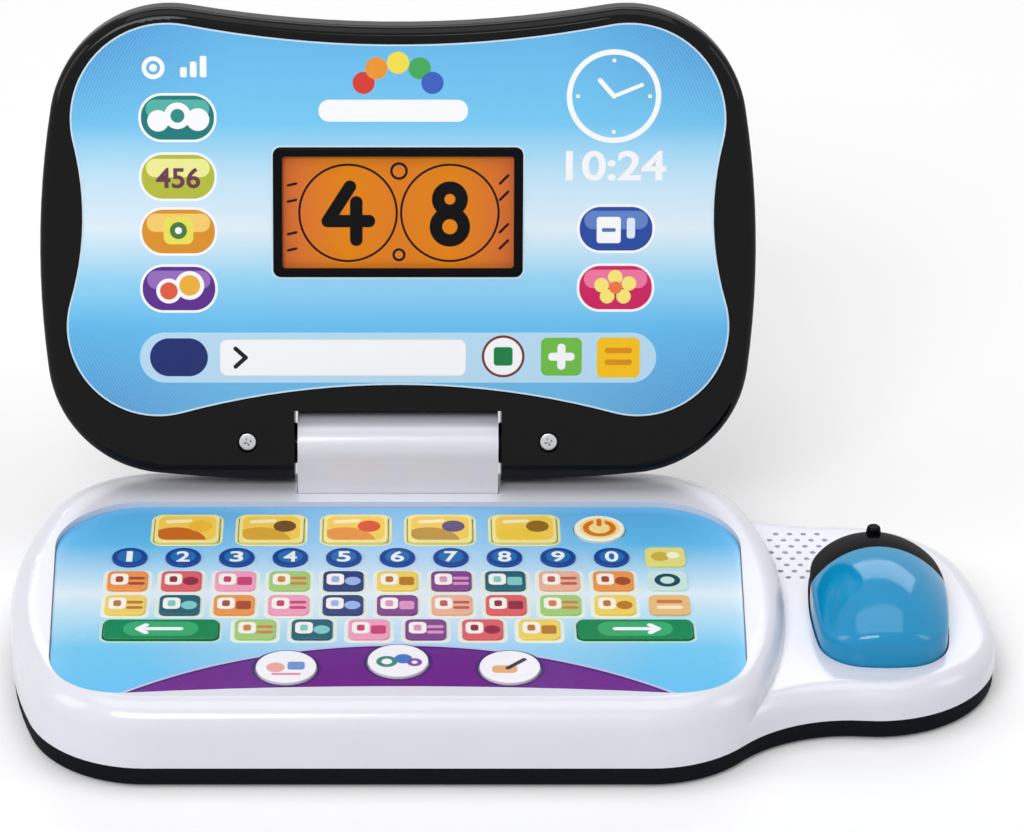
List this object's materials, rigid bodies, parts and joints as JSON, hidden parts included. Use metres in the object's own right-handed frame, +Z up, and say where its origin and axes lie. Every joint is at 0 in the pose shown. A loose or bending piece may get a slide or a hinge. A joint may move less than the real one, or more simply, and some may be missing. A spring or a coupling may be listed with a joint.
{
  "type": "toy laptop computer",
  "caption": "Toy laptop: hinged black lid with a printed screen panel and orange display, white base with pressable keys, and a side wing with a blue press-down mouse.",
  "frame": {"origin": "on the table under the middle of the open toy's bounding box", "axes": "+X to the user's right along the key rows, +Y from the user to the hinge, +Z up"},
  "size_m": [0.3056, 0.1912, 0.1781],
  "materials": {
    "white_shell": "glossy moulded ABS",
    "black_tray": "moulded black ABS",
    "black_lid": "glossy moulded black ABS",
    "black_trim": "moulded black plastic",
    "deck_print": "printed plastic sheet",
    "screen_print": "printed plastic sheet",
    "number_key": "printed key pads",
    "letter_key": "printed key pads",
    "side_key": "printed key pads",
    "topic_key": "printed key caps",
    "power_key": "printed key cap",
    "green_key": "printed key caps",
    "round_key": "printed key caps",
    "mouse_blue": "clear tinted plastic",
    "clear_window": "clear acrylic",
    "lcd_picture": "liquid crystal glass over an orange light",
    "lcd_light": "light guide",
    "circuit_board": "green circuit board",
    "chip_black": "moulded parts",
    "speaker_paper": "paper cone",
    "cell_wrap": "steel cells with a plain wrap",
    "mat_rubber": "silicone rubber",
    "foot_rubber": "rubber feet",
    "lead_black": "insulated lead",
    "steel": "plated steel"
  },
  "bodies": {
    "base": {"base_top_shell": "white_shell", "base_bottom_shell": "black_tray", "hinge_bracket": "white_shell", "keypad_panel": "deck_print", "number_keys": "number_key", "side_keys": "side_key", "letter_keys_upper": "letter_key", "letter_keys_middle": "letter_key", "letter_keys_lower": "letter_key", "key_dome_mat": "mat_rubber", "keypad_board": "circuit_board", "main_board": "circuit_board", "board_chips": "chip_black", "speaker_frame": "steel", "speaker_cone": "speaker_paper", "batteries": "cell_wrap", "battery_contacts": "steel", "battery_door": "black_tray", "battery_door_screw": "steel", "base_screws": "steel", "rubber_feet": "foot_rubber", "mouse_board": "circuit_board", "mouse_switch": "chip_black", "mouse_spring": "steel", "display_lead_base": "lead_black"},
    "lid": {"lid_front_frame": "black_lid", "lid_back_shell": "black_lid", "screen_panel": "screen_print", "lcd_bezel": "black_trim", "lcd_window": "clear_window", "lcd_cell": "lcd_picture", "lcd_backlight": "lcd_light", "display_board": "circuit_board", "hinge_pins": "steel", "hinge_washers": "black_trim", "lid_screws": "steel", "display_lead_lid": "lead_black"},
    "mouse": {"mouse_cover": "mouse_blue", "mouse_nose": "black_trim", "mouse_carrier": "black_trim"},
    "topic_key_1": {"topic_key_1": "topic_key"},
    "topic_key_2": {"topic_key_2": "topic_key"},
    "topic_key_3": {"topic_key_3": "topic_key"},
    "topic_key_4": {"topic_key_4": "topic_key"},
    "topic_key_5": {"topic_key_5": "topic_key"},
    "power_key": {"power_key": "power_key"},
    "green_key_left": {"green_key_left": "green_key"},
    "green_key_right": {"green_key_right": "green_key"},
    "round_key_left": {"round_key_left": "round_key"},
    "round_key_middle": {"round_key_middle": "round_key"},
    "round_key_right": {"round_key_right": "round_key"}
  },
  "joints": [
    {"name": "lid_hinge", "type": "hinge", "parent": "base", "child": "lid", "pos_m": [-0.03256, 0.04586, 0.0405], "axis": [1, 0, 0], "range_deg": [0, 107]},
    {"name": "mouse_press", "type": "slide", "parent": "base", "child": "mouse", "axis": [0, 0, -1], "range_m": [0, 0.002], "stiffness_N_per_m": 1200, "deforming": ["mouse_spring"]},
    {"name": "press_topic_key_1", "type": "slide", "parent": "base", "child": "topic_key_1", "axis": [0, 0, -1], "range_m": [0, 0.0008], "stiffness_N_per_m": 1200, "deforming": ["key_dome_mat"]},
    {"name": "press_topic_key_2", "type": "slide", "parent": "base", "child": "topic_key_2", "axis": [0, 0, -1], "range_m": [0, 0.0008], "stiffness_N_per_m": 1200, "deforming": ["key_dome_mat"]},
    {"name": "press_topic_key_3", "type": "slide", "parent": "base", "child": "topic_key_3", "axis": [0, 0, -1], "range_m": [0, 0.0008], "stiffness_N_per_m": 1200, "deforming": ["key_dome_mat"]},
    {"name": "press_topic_key_4", "type": "slide", "parent": "base", "child": "topic_key_4", "axis": [0, 0, -1], "range_m": [0, 0.0008], "stiffness_N_per_m": 1200, "deforming": ["key_dome_mat"]},
    {"name": "press_topic_key_5", "type": "slide", "parent": "base", "child": "topic_key_5", "axis": [0, 0, -1], "range_m": [0, 0.0008], "stiffness_N_per_m": 1200, "deforming": ["key_dome_mat"]},
    {"name": "press_power_key", "type": "slide", "parent": "base", "child": "power_key", "axis": [0, 0, -1], "range_m": [0, 0.0008], "stiffness_N_per_m": 1200, "deforming": ["key_dome_mat"]},
    {"name": "press_green_key_left", "type": "slide", "parent": "base", "child": "green_key_left", "axis": [0, 0, -1], "range_m": [0, 0.0008], "stiffness_N_per_m": 1200, "deforming": ["key_dome_mat"]},
    {"name": "press_green_key_right", "type": "slide", "parent": "base", "child": "green_key_right", "axis": [0, 0, -1], "range_m": [0, 0.0008], "stiffness_N_per_m": 1200, "deforming": ["key_dome_mat"]},
    {"name": "press_round_key_left", "type": "slide", "parent": "base", "child": "round_key_left", "axis": [0, 0, -1], "range_m": [0, 0.0008], "stiffness_N_per_m": 1200, "deforming": ["key_dome_mat"]},
    {"name": "press_round_key_middle", "type": "slide", "parent": "base", "child": "round_key_middle", "axis": [0, 0, -1], "range_m": [0, 0.0008], "stiffness_N_per_m": 1200, "deforming": ["key_dome_mat"]},
    {"name": "press_round_key_right", "type": "slide", "parent": "base", "child": "round_key_right", "axis": [0, 0, -1], "range_m": [0, 0.0008], "stiffness_N_per_m": 1200, "deforming": ["key_dome_mat"]}
  ]
}
